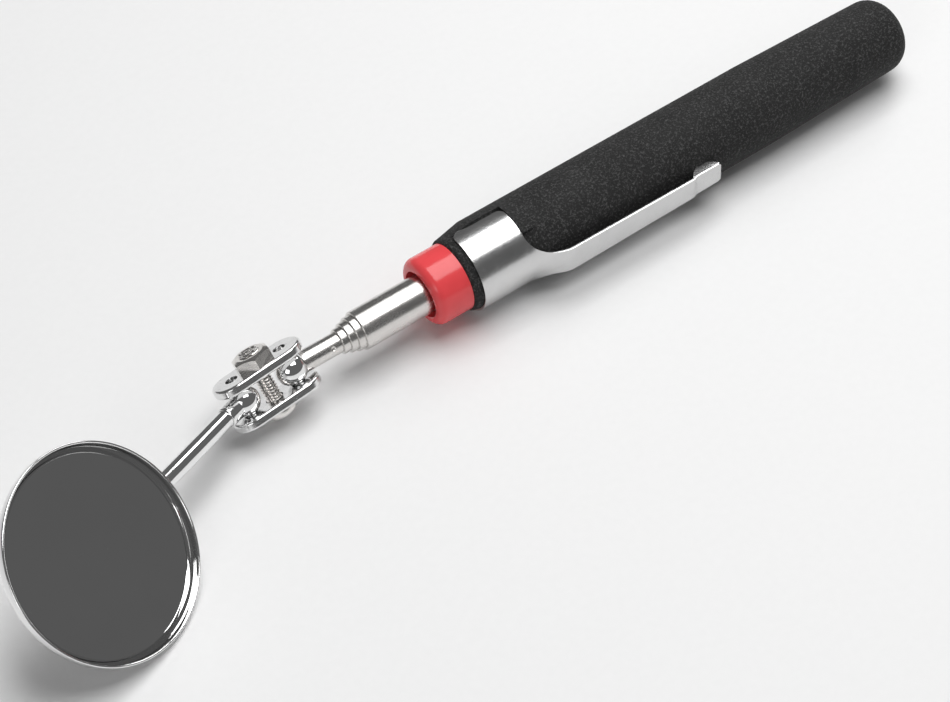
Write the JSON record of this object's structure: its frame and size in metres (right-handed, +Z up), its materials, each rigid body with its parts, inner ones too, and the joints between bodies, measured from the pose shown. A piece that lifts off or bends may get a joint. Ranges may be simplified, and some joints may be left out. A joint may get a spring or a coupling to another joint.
{
  "type": "telescoping inspection mirror",
  "caption": "Round mirror in a plated cup on a stem, joined by a clamped double-ball swivel to a telescoping tube in a foam grip with a pocket clip.",
  "frame": {"origin": "on the handle axis, in the middle of the plain barrel of the grip that the hand holds", "axes": "+X along the handle from the mirror end to the rear of the grip; +Z up with the object lying at rest on a flat surface, mirror facing up; +Y to the left looking along +X, so the pocket clip lies on the -Y side"},
  "size_m": [0.2733, 0.0566, 0.0397],
  "materials": {
    "chrome": "bright chrome plate",
    "mirror_glass": "silvered glass",
    "foam_pad": "closed-cell adhesive foam",
    "steel_ball": "plated steel",
    "plate_steel": "plated pressed steel, bright with soft press marks",
    "zinc_steel": "bright zinc plate",
    "tube_nickel": "satin nickel with lengthwise drawing lines",
    "spring_brass": "spring brass",
    "inner_plastic": "moulded",
    "red_plastic": "glossy dipped vinyl",
    "black_foam": "fine-grained closed-cell foam",
    "clip_steel": "plated spring steel, light polish"
  },
  "bodies": {
    "handle": {"grip_sleeve": "black_foam", "front_collar": "red_plastic", "outer_tube": "tube_nickel", "tube_end_plug": "inner_plastic", "pocket_clip": "clip_steel"},
    "stage_4": {"tube_stage_4": "tube_nickel", "friction_shoe_4": "spring_brass"},
    "stage_3": {"tube_stage_3": "tube_nickel", "friction_shoe_3": "spring_brass"},
    "stage_2": {"tube_stage_2": "tube_nickel", "friction_shoe_2": "spring_brass"},
    "stage_1_shoe": {"friction_shoe_1": "spring_brass"},
    "stage_1": {"tube_stage_1": "tube_nickel", "ball_stud": "steel_ball"},
    "rear_swivel_ball": {"rear_ball": "steel_ball"},
    "swivel": {"swivel_plate_top": "plate_steel", "swivel_plate_bottom": "plate_steel", "clamp_screw": "zinc_steel", "clamp_nut": "zinc_steel"},
    "front_swivel_ball": {"front_ball": "steel_ball"},
    "ferrule": {"front_ferrule": "chrome"},
    "mirror_head": {"mirror_housing": "chrome", "mirror_glass": "mirror_glass", "mirror_pad": "foam_pad", "mirror_stem": "chrome", "stem_rivets": "chrome"}
  },
  "joints": [
    {"name": "stage_4_slide", "type": "slide", "parent": "handle", "child": "stage_4", "axis": [-1, 0, 0], "range_m": [0, 0.1371]},
    {"name": "stage_3_slide", "type": "slide", "parent": "stage_4", "child": "stage_3", "axis": [-1, 0, 0], "range_m": [0, 0.1383]},
    {"name": "stage_2_slide", "type": "slide", "parent": "stage_3", "child": "stage_2", "axis": [-1, 0, 0], "range_m": [0, 0.1395]},
    {"name": "stage_1_slide", "type": "slide", "parent": "stage_2", "child": "stage_1_shoe", "axis": [-1, 0, 0], "range_m": [0, 0.1407]},
    {"name": "stage_1_spin", "type": "hinge", "parent": "stage_1_shoe", "child": "stage_1", "pos_m": [-0.02, 0, 0], "axis": [1, 0, 0], "continuous": true},
    {"name": "rear_ball_pitch", "type": "hinge", "parent": "stage_1", "child": "rear_swivel_ball", "pos_m": [-0.1311, 0, 0], "axis": [0, 0.8704, -0.4924], "range_deg": [-3.2, 14.8]},
    {"name": "rear_ball_yaw", "type": "hinge", "parent": "rear_swivel_ball", "child": "swivel", "pos_m": [-0.1311, 0, 0], "axis": [-0.1011, 0.4899, 0.8659], "range_deg": [-86.1, 93.9]},
    {"name": "front_ball_yaw", "type": "hinge", "parent": "swivel", "child": "front_swivel_ball", "pos_m": [-0.1444, 0.00013, -0.00162], "axis": [0.1011, -0.4899, -0.8659], "range_deg": [-61.7, 118.3]},
    {"name": "front_ball_pitch", "type": "hinge", "parent": "front_swivel_ball", "child": "ferrule", "pos_m": [-0.1444, 0.00013, -0.00162], "axis": [-0.411, 0.7721, -0.4848], "range_deg": [-9, 9]},
    {"name": "stem_spin", "type": "hinge", "parent": "ferrule", "child": "mirror_head", "pos_m": [-0.1444, 0.00013, -0.00162], "axis": [0.906, 0.4049, -0.1233], "continuous": true}
  ]
}
